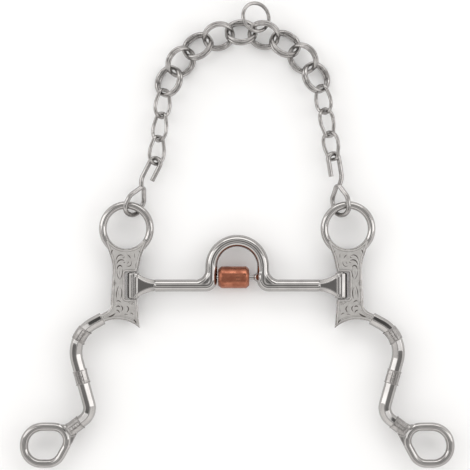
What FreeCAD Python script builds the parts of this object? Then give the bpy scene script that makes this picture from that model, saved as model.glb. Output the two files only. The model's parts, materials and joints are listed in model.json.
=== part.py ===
"""Loose-jaw curb bit with a ported mouth, a copper roller and a double-link curb chain.

The bit lies flat on a table, both cheeks swung outward. Lengths are millimetres.
Frame: +X to the bit's right, +Y from the mouthpiece towards the chain, +Z up off
the table. The origin is the middle of the bounding box on the table's surface.
"""
import FreeCAD
import Part
import Sketcher
import math
import os

from FreeCAD import Placement, Rotation, Vector

X_AXIS = Vector(1, 0, 0)
Y_AXIS = Vector(0, 1, 0)
Z_AXIS = Vector(0, 0, 1)
NO_TURN = Rotation()

# Driving dimensions: one spreadsheet cell each, in millimetres or degrees.
SIZES = {
    # where the bit lies
    "mouth_y": -32.17,          # mouthpiece line, from the middle of the box
    "lie_height": 8.25,         # height of the bit's middle plane off the table
    # mouthpiece
    "hinge_x": 66.2,            # cheek hinge axis, from the middle
    "bar_radius": 3.8,
    "bar_end": 4.6,             # bar stops this far short of the hinge axis
    "port_half": 16.5,          # port leg centre, from the middle
    "port_rise": 28.5,          # port crown centre, over the bar
    "base_bend": 10.2,          # web between bar and port leg
    "web_radius": 3.3,
    "flare_length": 13.5,       # bar end that widens into the barrel
    "flare_root": 2.6,
    "flare_half": 7.5,
    "flare_thin": 3.6,
    "flare_seat": 1.2,          # flare's wide end, inside the barrel
    "barrel_radius": 3.8,
    "barrel_half": 8.1,
    # roller and its pin
    "roller_y": 5.2,
    "roller_x": -2.2,
    "roller_radius": 7.0,
    "roller_length": 19.8,
    "roller_round": 2.0,
    "pin_radius": 1.6,
    "pin_half": 14.6,
    "running_clearance": 0.08,
    "boss_radius": 3.3,
    "boss_tip": 1.95,
    "boss_length": 2.9,
    "boss_seat": 13.4,          # boss root, from the middle
    # cheek
    "plate_thickness": 5.0,
    "ring_x": -4.4,
    "ring_y": 36.2,
    "ring_radius": 15.1,
    "ring_wire": 2.45,
    "ring_hole": 12.9,          # plate's top edge follows the ring's hole
    "arc_x": -10.2,             # hollow lower edge of the plate
    "arc_y": -42.4,
    "arc_radius": 20.9,
    "hinge_pin_radius": 1.6,
    "hinge_pin_top": 15.0,
    "hinge_pin_bottom": -21.0,
    # shank, its bands and the rein ring
    "shank_radius": 4.1,        # over the corners of the bevelled bar
    "rein_wire": 2.7,
    "rein_web": 3.4,            # flat web between the shank's end and the ring
    "band_thickness": 0.3,
    "band_width": 9.0,
    # overlay
    "overlay_thickness": 0.5,
    "overlay_inset": 0.8,
    # hooks
    "hook_wire": 1.5,
    "hook_length": 31.4,        # ring contact to chain contact
    "left_hook_lean": 63.0,     # angle from +X
    "right_hook_lean": 99.0,
    "eye_spin": 45.0,           # eye's turn about the hook's own line
    "bend_spin": -22.5,         # bend's turn about the hook's own line
    # chain
    "chain_wire": 1.15,
    "double_radius": 9.3,
    "double_pitch": 14.8,
    "double_offset": 1.2,       # each ring of a pair, off the pair's middle
    "double_tilt": 42.0,
    "double_count": 9.0,
    "end_pitch": 15.0,
    "end_tilt": 45.0,
    "end_count": 3.0,
    # fly ring
    "fly_radius": 9.05,
    "fly_x": 11.9,
    "fly_y": 170.5,
    "fly_z": 4.65,
    "fly_tilt": 25.8,
    "fly_turn": 105.4,
}

# Corners of outlines and paths: (x, y, rounding). Cells are NAME_x, NAME_y and NAME_r.
# Plate outline, from the hinge axis, in order round the plate.
PLATE = {
    "crown_left": (-18.0, 29.0, 0.0),
    "waist_high": (-12.8, 13.5, 26.0),
    "waist_low": (-14.5, -15.4, 5.5),
    "shank_top": (-24.0, -19.8, 0.0),
    "shank_foot": (-24.0, -27.0, 0.0),
    "spur": (4.1, -27.2, 0.0),
    "lug_low": (2.8, -9.6, 0.0),
    "notch_low": (2.8, -8.4, 0.0),
    "notch_back_low": (-5.0, -8.4, 1.0),
    "notch_back_high": (-5.0, 8.4, 1.0),
    "lug_high": (2.8, 8.4, 0.0),
    "throat": (5.0, 18.5, 24.0),
    "crown_right": (9.2, 29.0, 0.0),
}
SHANK = {
    "shank_start": (-19.6, -21.0, 0.0),
    "shank_knee": (-40.3, -32.2, 21.0),
    "shank_heel": (-26.5, -81.8, 9.5),
    "shank_end": (-41.0, -92.5, 0.0),
}
REIN = {
    "rein_shank": (-36.0, -90.0, 9.0),
    "rein_top": (-69.7, -90.0, 12.0),
    "rein_side": (-69.7, -113.6, 11.0),
    "rein_foot": (-49.0, -113.6, 9.5),
}
WEB = {
    "web_shank": (-36.4, -88.4, 0.0),
    "web_top": (-52.5, -88.6, 0.0),
    "web_hollow": (-43.9, -94.7, 0.0),
    "web_foot": (-41.2, -104.6, 0.0),
    "web_side": (-34.6, -92.2, 0.0),
}
# Hook eye and bend, X along the hook from the ring contact.
EYE = {
    "eye_left": (-5.8, -6.6, 6.1),
    "eye_right": (-5.8, 6.6, 6.1),
    "eye_shoulder_right": (5.2, 6.6, 6.0),
    "eye_neck_right": (12.8, 1.3, 1.5),
    "eye_neck_left": (12.8, -1.3, 1.5),
    "eye_shoulder_left": (5.2, -6.6, 6.0),
}
BEND = {
    "bend_root": (12.4, 0.6, 0.0),
    "bend_stem": (17.5, 3.7, 10.0),
    "bend_out": (33.8, 3.7, 3.6),
    "bend_back": (33.8, -3.7, 3.6),
    "bend_tip": (19.5, -3.7, 0.0),
}
# Pear-shaped end link, long axis on X.
PEAR = {
    "pear_big_left": (-8.8, -6.6, 6.5),
    "pear_big_right": (-8.8, 6.6, 6.5),
    "pear_waist_right": (1.0, 6.0, 9.0),
    "pear_small_right": (8.8, 3.4, 3.3),
    "pear_small_left": (8.8, -3.4, 3.3),
    "pear_waist_left": (1.0, -6.0, 9.0),
}
# Bands: where each one's middle lies and the direction of the shank there.
BANDS = {
    "band_1": (-33.3, -31.4, -123.0),
    "band_2": (-33.0, -58.4, -74.5),
    "band_3": (-37.3, -89.7, -143.6),
}

PATHS = (PLATE, SHANK, REIN, WEB, EYE, BEND, PEAR)

doc = FreeCAD.newDocument("curb_bit")
sheet = doc.addObject("Spreadsheet::Sheet", "Sizes")


def fill_sheet():
    """Write every driving dimension into its own named cell."""
    cells = dict(SIZES)
    for path in PATHS:
        for name, (x, y, r) in path.items():
            cells.update({name + "_x": x, name + "_y": y, name + "_r": r})
    for name, (x, y, turn) in BANDS.items():
        cells.update({name + "_x": x, name + "_y": y, name + "_turn": turn})
    for row, (alias, value) in enumerate(cells.items(), start=1):
        sheet.set("A%d" % row, alias)
        sheet.set("B%d" % row, str(value))
        sheet.setAlias("B%d" % row, alias)
    doc.recompute()


def size(alias):
    """The value held in a named cell."""
    return float(sheet.get(alias))


def add(kind, label, **bindings):
    """Add an object and bind its properties to expressions on the sheet."""
    item = doc.addObject(kind, label)
    item.Label = label
    for name, expression in bindings.items():
        item.setExpression(name, expression.replace("$", "Sizes."))
    return item


def place(item, base=Vector(), turn=NO_TURN):
    """Place an object and hand it back."""
    item.Placement = Placement(base, turn)
    return item


def fuse(label, shapes):
    """Join shapes into one solid."""
    item = doc.addObject("Part::MultiFuse", label)
    item.Label = label
    item.Shapes = shapes
    return item


def cut(label, base, tool):
    """Take one shape out of another."""
    item = doc.addObject("Part::Cut", label)
    item.Label = label
    item.Base, item.Tool = base, tool
    return item


def corner_points(names):
    """The corners of a path, read from the sheet."""
    return [Vector(size(name + "_x"), size(name + "_y"), 0) for name in names]


def tangent_points(points, radii, closed):
    """Where each rounding starts and ends, worked out from corners and radii."""
    count = len(points)
    cuts = []
    for i, corner in enumerate(points):
        if radii[i] == 0 or (not closed and i in (0, count - 1)):
            cuts.append((corner, corner, None))
            continue
        back = (points[i - 1] - corner).normalize()
        ahead = (points[(i + 1) % count] - corner).normalize()
        half = back.getAngle(ahead) / 2
        reach = radii[i] / math.tan(half)
        middle = corner + (back + ahead).normalize() * (radii[i] / math.sin(half))
        cuts.append((corner + back * reach, corner + ahead * reach, middle))
    return cuts


def rounded_sketch(label, names, closed):
    """A sketch of straight runs through named corners, each corner rounded.

    Every corner's place and rounding is a constraint bound to the sheet.
    """
    sketch = doc.addObject("Sketcher::SketchObject", label)
    sketch.Label = label
    points = corner_points(names)
    radii = [size(name + "_r") for name in names]
    cuts = tangent_points(points, radii, closed)
    count = len(points)
    runs = []
    for i in range(count if closed else count - 1):
        start, end = cuts[i][1], cuts[(i + 1) % count][0]
        runs.append(sketch.addGeometry(Part.LineSegment(start, end), False))
    for i, name in enumerate(names):
        before = runs[i - 1] if closed or i > 0 else None
        after = runs[i] if closed or i < count - 1 else None
        if cuts[i][2] is None:
            run, end = (after, 1) if after is not None else (before, 2)
            pin_corner(sketch, name, run, end, points[i])
            if before is not None and after is not None:
                sketch.addConstraint(Sketcher.Constraint("Coincident", before, 2, after, 1))
            continue
        round_corner(sketch, name, before, after, cuts[i], radii[i], points[i])
    return sketch


def pin_corner(sketch, name, geometry, end, point):
    """Hold one point of a sketch at a named corner."""
    for axis, value in (("X", point.x), ("Y", point.y)):
        index = sketch.addConstraint(Sketcher.Constraint("Distance" + axis, geometry, end, value))
        cell = "Sizes.%s_%s" % (name, axis.lower())
        sketch.setExpression("Constraints[%d]" % index, cell)


def round_corner(sketch, name, before, after, cuts, radius, point):
    """Add the arc that rounds a named corner, tangent to both its runs."""
    start, end, middle = cuts
    turn = (start - middle).cross(end - middle).z
    first, second = (start, end) if turn > 0 else (end, start)
    angles = [math.atan2((p - middle).y, (p - middle).x) for p in (first, second)]
    circle = Part.Circle(middle, Z_AXIS, radius)
    arc = sketch.addGeometry(Part.ArcOfCircle(circle, angles[0], angles[1]), False)
    ends = (1, 2) if turn > 0 else (2, 1)
    sketch.addConstraint(Sketcher.Constraint("Tangent", before, 2, arc, ends[0]))
    sketch.addConstraint(Sketcher.Constraint("Tangent", arc, ends[1], after, 1))
    index = sketch.addConstraint(Sketcher.Constraint("Radius", arc, radius))
    sketch.setExpression("Constraints[%d]" % index, "Sizes.%s_r" % name)
    corner = sketch.addGeometry(Part.Point(point), True)
    pin_corner(sketch, name, corner, 1, point)
    sketch.addConstraint(Sketcher.Constraint("PointOnObject", corner, 1, before))
    sketch.addConstraint(Sketcher.Constraint("PointOnObject", corner, 1, after))


def sweep(label, path, profile):
    """Sweep a profile along every edge of a path, as a solid."""
    doc.recompute()
    start = path.Shape.Wires[0].OrderedEdges[0]
    first = start.firstVertex(True).Point
    heading = start.tangentAt(start.FirstParameter)
    if start.Orientation == "Reversed":
        heading = -heading
    profile.Placement = Placement(first, Rotation(Vector(0, 0, 1), heading))
    item = doc.addObject("Part::Sweep", label)
    item.Label = label
    item.Sections = [profile]
    names = ["Edge%d" % (i + 1) for i in range(len(path.Shape.Edges))]
    item.Spine = (path, names)
    item.Solid = True
    return item


def round_wire(label, names, closed, radius):
    """Round wire bent along a named path."""
    path = rounded_sketch(label + "_path", names, closed)
    profile = add("Part::Circle", label + "_section", Radius=radius)
    return sweep(label, path, profile)


def slab(label, outline, low, height):
    """A flat plate of a closed outline, from a given height upward."""
    item = doc.addObject("Part::Extrusion", label)
    item.Label = label
    item.Base = outline
    item.DirMode = "Normal"
    item.Solid = True
    item.setExpression("LengthFwd", height.replace("$", "Sizes."))
    item.setExpression("Placement.Base.z", low.replace("$", "Sizes."))
    return item


def make_mouthpiece():
    """Bar, raised port, flared ends and hinge barrels, drilled for its pins."""
    crown = add("Part::Torus", "port_crown", Radius1="$port_half", Radius2="$bar_radius")
    crown.Angle3 = 180
    crown.setExpression("Placement.Base.y", "Sizes.port_rise - Sizes.port_half")
    pieces = [crown]
    for side, sign in (("left", "-"), ("right", "")):
        pieces += make_mouth_side("mouth_" + side, sign)
    boss = add("Part::Cone", "pin_boss", Radius1="$boss_radius", Radius2="$boss_tip", Height="$boss_length")
    boss.Placement.Rotation = Rotation(Y_AXIS, -90)
    boss.setExpression("Placement.Base.x", "Sizes.boss_seat")
    boss.setExpression("Placement.Base.y", "Sizes.roller_y")
    body = fuse("mouth_solid", pieces + [boss])
    bores = [pin_cylinder("pin_bore", "$pin_radius")]
    for side, sign in (("left", "-"), ("right", "")):
        radius = "$hinge_pin_radius + $running_clearance"
        bores.append(upright(side + "_barrel_bore", sign, radius, "2 * $barrel_half"))
    mouthpiece = cut("mouthpiece", body, fuse("mouth_bores", bores))
    mouthpiece.setExpression("Placement.Base.y", "Sizes.mouth_y")
    mouthpiece.setExpression("Placement.Base.z", "Sizes.lie_height")
    return mouthpiece


def make_mouth_side(name, sign):
    """One side's bar, corner, port leg, web, flare and barrel."""
    ball = add("Part::Sphere", name + "_ball", Radius="$bar_radius")
    arm = add("Part::Cylinder", name + "_arm", Radius="$bar_radius",
              Height="$hinge_x - $port_half - $bar_end")
    arm.Placement.Rotation = Rotation(Y_AXIS, -90 if sign else 90)
    leg = add("Part::Cylinder", name + "_leg", Radius="$bar_radius", Height="$port_rise - $port_half")
    leg.Placement.Rotation = Rotation(X_AXIS, -90)
    for item in (ball, arm, leg):
        item.setExpression("Placement.Base.x", sign + "Sizes.port_half")
    web = add("Part::Torus", name + "_web", Radius1="$base_bend", Radius2="$web_radius")
    web.Angle3 = 90
    web.Placement.Rotation = Rotation(Z_AXIS, 270 if sign else 180)
    web.setExpression("Placement.Base.x", sign + "(Sizes.port_half + Sizes.base_bend)")
    web.setExpression("Placement.Base.y", "Sizes.base_bend")
    flare = add("Part::Wedge", name + "_flare",
                Xmin="-$flare_root", Xmax="$flare_root", Zmin="-$flare_root", Zmax="$flare_root",
                X2min="-$flare_half", X2max="$flare_half", Z2min="-$flare_thin", Z2max="$flare_thin",
                Ymin="0", Ymax="$flare_length - $flare_seat")
    flare.Placement.Rotation = Rotation(Z_AXIS, 90 if sign else -90)
    flare.setExpression("Placement.Base.x", sign + "(Sizes.hinge_x - Sizes.flare_length)")
    barrel = upright(name + "_barrel", sign, "$barrel_radius", "$barrel_half")
    return [ball, arm, leg, web, flare, barrel]


def upright(label, sign, radius, half):
    """A cylinder on a cheek's hinge axis, centred on the mouthpiece's line."""
    item = add("Part::Cylinder", label, Radius=radius, Height="2 * " + half)
    item.Placement.Rotation = Rotation(X_AXIS, -90)
    item.setExpression("Placement.Base.x", sign + "Sizes.hinge_x")
    item.setExpression("Placement.Base.y", "-(" + half.replace("$", "Sizes.") + ")")
    return item


def pin_cylinder(label, radius):
    """A cylinder on the roller's axis, from port leg to port leg."""
    item = add("Part::Cylinder", label, Radius=radius, Height="2 * $pin_half")
    item.Placement.Rotation = Rotation(Y_AXIS, 90)
    item.setExpression("Placement.Base.x", "-Sizes.pin_half")
    item.setExpression("Placement.Base.y", "Sizes.roller_y")
    return item


def make_roller():
    """Copper roller with rounded ends, bored to turn on its pin."""
    barrel = add("Part::Cylinder", "roller_barrel", Radius="$roller_radius", Height="$roller_length")
    rounding = doc.addObject("Part::Fillet", "roller_rounded")
    doc.recompute()
    rims = [i + 1 for i, e in enumerate(barrel.Shape.Edges) if e.Closed and e.Length > size("roller_radius")]
    rounding.Base = barrel
    rounding.Edges = [(rim, size("roller_round"), size("roller_round")) for rim in rims]
    bore = add("Part::Cylinder", "roller_bore", Radius="$pin_radius + $running_clearance",
               Height="$roller_length")
    roller = cut("roller", rounding, bore)
    roller.Placement.Rotation = Rotation(Y_AXIS, 90)
    roller.setExpression("Placement.Base.x", "Sizes.roller_x - Sizes.roller_length / 2")
    roller.setExpression("Placement.Base.y", "Sizes.mouth_y + Sizes.roller_y")
    roller.setExpression("Placement.Base.z", "Sizes.lie_height")
    pin = pin_cylinder("roller_pin", "$pin_radius")
    pin.setExpression("Placement.Base.y", "Sizes.mouth_y + Sizes.roller_y")
    pin.setExpression("Placement.Base.z", "Sizes.lie_height")
    return [roller, pin]


def disc(label, centre, radius, height):
    """A cylinder on Z through the plate, to cut a round edge with."""
    item = add("Part::Cylinder", label, Radius=radius, Height=height)
    item.setExpression("Placement.Base.x", "Sizes.%s_x" % centre)
    item.setExpression("Placement.Base.y", "Sizes.%s_y" % centre)
    item.setExpression("Placement.Base.z", "-Sizes.plate_thickness")
    return item


def bevelled_bar(label, path, radius):
    """Eight-sided bar along the shank's path, flats up and down."""
    profile = doc.addObject("Part::Compound", label + "_seat")
    section = add("Part::RegularPolygon", label + "_section", Circumradius=radius)
    section.Polygon = 8
    section.Placement.Rotation = Rotation(Z_AXIS, 22.5)
    profile.Links = [section]
    return sweep(label, path, profile)


def make_left_cheek():
    """Cheek with its ring, plate, shank, webbed rein ring, its pin, overlay and bands."""
    outline = rounded_sketch("plate_outline", list(PLATE), True)
    blank = slab("plate_blank", outline, "-$plate_thickness / 2", "$plate_thickness")
    edges = fuse("plate_edges", [disc("plate_ring_cut", "ring", "$ring_hole", "2 * $plate_thickness"),
                                 disc("plate_arc_cut", "arc", "$arc_radius", "2 * $plate_thickness")])
    plate = cut("plate", blank, edges)
    ring = add("Part::Torus", "headstall_ring", Radius1="$ring_radius", Radius2="$ring_wire")
    ring.setExpression("Placement.Base.x", "Sizes.ring_x")
    ring.setExpression("Placement.Base.y", "Sizes.ring_y")
    path = rounded_sketch("shank_path", list(SHANK), False)
    shank = bevelled_bar("shank", path, "$shank_radius")
    rein = round_wire("rein_ring", list(REIN), True, "$rein_wire")
    web = slab("rein_web_plate", rounded_sketch("rein_web_outline", list(WEB), True),
               "-$rein_web / 2", "$rein_web")
    core = fuse("shank_and_rein", [shank, rein, web])
    metal = fuse("cheek_metal", [plate, ring, core])
    bore = hinge_pin("hinge_bore", "$hinge_pin_radius")
    cheek = cut("left_cheek", metal, bore)
    pin = hinge_pin("left_hinge_pin", "$hinge_pin_radius")
    parts = [cheek, pin, make_overlay(outline, shank), *make_bands(path, metal)]
    for item in parts:
        item.Placement = Placement(Vector(-size("hinge_x"), size("mouth_y"), size("lie_height")),
                                   item.Placement.Rotation)
    for item in parts:
        drop = "Sizes.hinge_pin_bottom" if item is pin else "0"
        item.setExpression("Placement.Base.x", "-Sizes.hinge_x")
        item.setExpression("Placement.Base.y", "Sizes.mouth_y + " + drop)
        item.setExpression("Placement.Base.z", "Sizes.lie_height")
    return parts


def hinge_pin(label, radius):
    """A cylinder on the cheek's hinge axis, up through both lugs."""
    item = add("Part::Cylinder", label, Radius=radius, Height="$hinge_pin_top - $hinge_pin_bottom")
    item.Placement.Rotation = Rotation(X_AXIS, -90)
    item.setExpression("Placement.Base.y", "Sizes.hinge_pin_bottom")
    return item


def make_overlay(outline, shank):
    """Thin face plate set in from the cheek plate's edge."""
    inset = doc.addObject("Part::Offset2D", "overlay_outline")
    inset.Source = outline
    inset.Join = "Intersection"
    inset.Fill = False
    inset.setExpression("Value", "-Sizes.overlay_inset")
    blank = slab("overlay_blank", inset, "$plate_thickness / 2", "$overlay_thickness")
    edges = fuse("overlay_edges", [
        disc("overlay_ring_cut", "ring", "$ring_hole + $overlay_inset", "3 * $plate_thickness"),
        disc("overlay_arc_cut", "arc", "$arc_radius + $overlay_inset", "3 * $plate_thickness"), shank])
    return cut("left_cheek_overlay", blank, edges)


def make_bands(path, metal):
    """Three thin engraved sleeves that follow the shank's bevels and stop at the other metal."""
    thick = bevelled_bar("band_stock", path, "$shank_radius + $band_thickness")
    bands = []
    for number, name in enumerate(BANDS, start=1):
        block = add("Part::Box", name + "_block", Length="$band_width", Width="6 * $shank_radius",
                    Height="6 * $shank_radius")
        turn = Rotation(Z_AXIS, size(name + "_turn"))
        middle = Vector(size(name + "_x"), size(name + "_y"), 0)
        reach = 3 * size("shank_radius")
        place(block, middle - turn.multVec(Vector(size("band_width") / 2, reach, reach)), turn)
        ring = doc.addObject("Part::Common", name + "_stock")
        ring.Base, ring.Tool = thick, block
        bands.append(cut("left_shank_band_%d" % number, ring, metal))
    return bands


def mirror(item):
    """The right-hand twin of a left-hand piece."""
    twin = doc.addObject("Part::Mirroring", item.Label.replace("left", "right"))
    twin.Label = item.Label.replace("left", "right")
    twin.Source = item
    twin.Normal = X_AXIS
    return twin


def heading_vector(angle):
    """Unit vector in the table's plane, at an angle from +X."""
    return Vector(math.cos(math.radians(angle)), math.sin(math.radians(angle)), 0)


def lay(angle, spin):
    """Turn local X along a heading and spin the piece about that line."""
    return Rotation(Z_AXIS, angle) * Rotation(X_AXIS, spin)


def hook_contact(side):
    """Where a hook's eye holds its headstall ring, right over the hinge axis."""
    reach = size("ring_radius") ** 2 - size("ring_x") ** 2
    return Vector(side * size("hinge_x"), size("mouth_y") + size("ring_y") + math.sqrt(reach),
                  size("lie_height"))


def make_hook(label, side, lean):
    """Bent wire hook: a closed eye on the cheek's ring and an open bend for the chain."""
    eye = round_wire(label + "_eye", list(EYE), True, "$hook_wire")
    bend = round_wire(label + "_bend", list(BEND), False, "$hook_wire")
    doc.recompute()
    eye_turn = Rotation(X_AXIS, size("eye_spin"))
    bend_turn = Rotation(X_AXIS, size("bend_spin"))
    hook = doc.addObject("Part::Feature", label)
    hook.Label = label
    halves = [turned(eye.Shape, eye_turn), turned(bend.Shape, bend_turn)]
    shape = halves[0].fuse(halves[1])
    if side > 0:
        shape = shape.mirror(Vector(), Y_AXIS)
    hook.Shape = shape
    return place(hook, hook_contact(side), lay(lean, 0))


def turned(shape, turn):
    """A copy of a shape, turned about its own origin."""
    copy = shape.copy()
    copy.Placement = Placement(Vector(), turn) * copy.Placement
    return copy


def chain_run(first, last):
    """Contact points and headings of the chain for its two end headings."""
    ends, doubles = int(size("end_count")), int(size("double_count"))
    headings = [first] * ends
    headings += [first + (last - first) * k / (doubles + 1) for k in range(1, doubles + 1)]
    headings += [last] * ends
    pitches = [size("end_pitch")] * ends + [size("double_pitch")] * doubles + [size("end_pitch")] * ends
    at = hook_contact(-1) + heading_vector(size("left_hook_lean")) * size("hook_length")
    middles = []
    for heading, pitch in zip(headings, pitches):
        step = heading_vector(heading) * pitch
        middles.append(at + step * 0.5)
        at = at + step
    return middles, headings, at


def settle_chain():
    """Find the two end headings that bring the chain's end onto the right hook."""
    goal = hook_contact(1) + heading_vector(size("right_hook_lean")) * size("hook_length")
    first, last, nudge = 84.0, -81.0, 0.001
    for _ in range(30):
        miss = chain_run(first, last)[2] - goal
        by_first = (chain_run(first + nudge, last)[2] - goal - miss) * (1 / nudge)
        by_last = (chain_run(first, last + nudge)[2] - goal - miss) * (1 / nudge)
        scale = by_first.x * by_last.y - by_last.x * by_first.y
        first -= (miss.x * by_last.y - by_last.x * miss.y) / scale
        last -= (by_first.x * miss.y - miss.x * by_first.y) / scale
    return chain_run(first, last)[:2]


def make_chain():
    """Three pear links, nine pairs of round rings and three pear links."""
    middles, headings = settle_chain()
    ends, doubles = int(size("end_count")), int(size("double_count"))
    pear = closed_wire(rounded_sketch("end_link_path", list(PEAR), True), size("chain_wire"))
    links = []
    for i, (middle, heading) in enumerate(zip(middles, headings)):
        if ends <= i < ends + doubles:
            links += make_pair(i - ends + 1, middle, heading)
            continue
        left = i < ends
        number = i + 1 if left else len(middles) - i
        tilt = size("end_tilt") * (1 if number % 2 else -1)
        label = "%s_end_link_%d" % ("left" if left else "right", number)
        link = doc.addObject("Part::Feature", label)
        link.Label = label
        link.Shape = pear.copy()
        turn = lay(heading, tilt)
        if not left and number == ends:
            turn = turn * Rotation(Y_AXIS, 180)     # narrow end towards the round rings
        links.append(place(link, middle, turn))
    return links


def closed_wire(path, radius):
    """Round wire round a closed path, as a shape."""
    doc.recompute()
    loop = path.Shape.Wires[0]
    edge = loop.OrderedEdges[0]
    start = edge.valueAt(edge.FirstParameter)
    section = Part.Circle(start, edge.tangentAt(edge.FirstParameter), radius)
    return loop.makePipeShell([Part.Wire(section.toShape())], True, False)


def make_pair(number, middle, heading):
    """Two round rings side by side, tilted the other way from their neighbours."""
    tilt = size("double_tilt") * (-1 if number % 2 else 1)
    turn = lay(heading, tilt)
    rings = []
    for letter, side in (("a", 1), ("b", -1)):
        ring = add("Part::Torus", "double_link_%d%s" % (number, letter),
                   Radius1="$double_radius", Radius2="$chain_wire")
        offset = turn.multVec(Z_AXIS) * (side * size("double_offset"))
        rings.append(place(ring, middle + offset, turn))
    return rings


def make_fly_ring():
    """Loose ring on the chain's middle, which carries a lip strap."""
    ring = add("Part::Torus", "fly_ring", Radius1="$fly_radius", Radius2="$chain_wire")
    base = Vector(size("fly_x"), size("mouth_y") + size("fly_y"), size("lie_height") + size("fly_z"))
    return place(ring, base, Rotation(Z_AXIS, size("fly_turn")) * Rotation(X_AXIS, size("fly_tilt")))


def check(parts):
    """Stop if any object failed, or any piece isn't a valid solid."""
    for item in doc.Objects:
        if {"Invalid", "Error"} & set(item.State):
            raise RuntimeError("%s failed: %s" % (item.Label, item.State))
    for item in parts:
        shape = item.Shape
        if shape.isNull() or not shape.isValid() or not shape.Solids:
            raise RuntimeError("%s has no valid solid" % item.Label)


def main():
    """Build every piece, check it and write one STEP file for each."""
    fill_sheet()
    left_side = make_left_cheek()
    hooks = [make_hook("left_hook", -1, size("left_hook_lean")),
             make_hook("right_hook", 1, size("right_hook_lean"))]
    links = make_chain()
    parts = [make_mouthpiece(), *make_roller(), *left_side, *[mirror(item) for item in left_side],
             *hooks, *links, make_fly_ring()]
    doc.recompute()
    check(parts)
    os.makedirs("parts", exist_ok=True)
    for item in parts:
        item.Shape.exportStep(os.path.join("parts", item.Label + ".step"))
        print(item.Label, "solids", len(item.Shape.Solids), "volume %.1f" % item.Shape.Volume)


main()
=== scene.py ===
"""Looks of a loose-jaw curb bit, built round its fixed CAD frame.

The bit lies flat on a pale table with both cheeks swung outward. Every piece is in
metres in the row frame; the classes hold a maker's sizes in millimetres and turn
them into metres with MM where a mesh is made.
"""
import json
import logging
import math
from dataclasses import dataclass
from enum import Enum

import bmesh
import bpy
import numpy as np
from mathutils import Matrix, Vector
from mathutils.geometry import delaunay_2d_cdt

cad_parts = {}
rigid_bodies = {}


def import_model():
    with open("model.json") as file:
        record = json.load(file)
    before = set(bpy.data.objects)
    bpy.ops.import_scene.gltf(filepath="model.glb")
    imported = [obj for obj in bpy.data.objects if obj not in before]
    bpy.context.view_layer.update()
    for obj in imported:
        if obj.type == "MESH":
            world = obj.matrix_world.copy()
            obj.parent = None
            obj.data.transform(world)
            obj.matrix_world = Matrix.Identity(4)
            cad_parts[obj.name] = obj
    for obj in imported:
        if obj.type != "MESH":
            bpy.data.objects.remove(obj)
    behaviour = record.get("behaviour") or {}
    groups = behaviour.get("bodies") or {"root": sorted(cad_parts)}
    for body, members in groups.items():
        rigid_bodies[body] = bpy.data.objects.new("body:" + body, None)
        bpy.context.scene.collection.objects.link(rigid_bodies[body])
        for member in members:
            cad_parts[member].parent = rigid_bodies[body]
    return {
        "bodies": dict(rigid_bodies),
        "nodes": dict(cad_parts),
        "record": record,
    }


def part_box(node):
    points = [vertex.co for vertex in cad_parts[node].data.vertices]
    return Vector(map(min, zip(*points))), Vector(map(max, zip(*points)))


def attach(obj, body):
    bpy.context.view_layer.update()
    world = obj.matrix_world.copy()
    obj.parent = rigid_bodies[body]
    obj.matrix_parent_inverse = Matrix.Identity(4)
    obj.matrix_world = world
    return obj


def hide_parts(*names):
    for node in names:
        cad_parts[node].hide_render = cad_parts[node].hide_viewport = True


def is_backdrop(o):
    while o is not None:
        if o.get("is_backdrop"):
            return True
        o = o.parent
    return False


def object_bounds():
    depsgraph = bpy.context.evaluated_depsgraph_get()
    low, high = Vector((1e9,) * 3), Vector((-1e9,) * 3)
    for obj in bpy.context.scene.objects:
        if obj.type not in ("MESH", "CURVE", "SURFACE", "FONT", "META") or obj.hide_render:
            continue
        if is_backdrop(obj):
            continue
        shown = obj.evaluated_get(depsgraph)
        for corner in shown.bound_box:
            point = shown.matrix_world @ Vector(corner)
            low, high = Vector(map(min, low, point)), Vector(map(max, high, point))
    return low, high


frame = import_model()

LOG = logging.getLogger("curb_bit")
MM = 0.001
CUT = "cut"
CROWN_TOP = 32.3    # top of the port over the mouthpiece's line, in millimetres


class Slot(Enum):
    """The record's material slots."""

    STEEL = "steel"
    SILVER = "engraved_silver"
    COPPER = "copper"


class Side(Enum):
    """A cheek's side of the bit, as the sign of its X."""

    LEFT = -1
    RIGHT = 1

    @property
    def word(self) -> str:
        """The side's word in node and piece names."""
        return self.name.lower()


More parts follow.
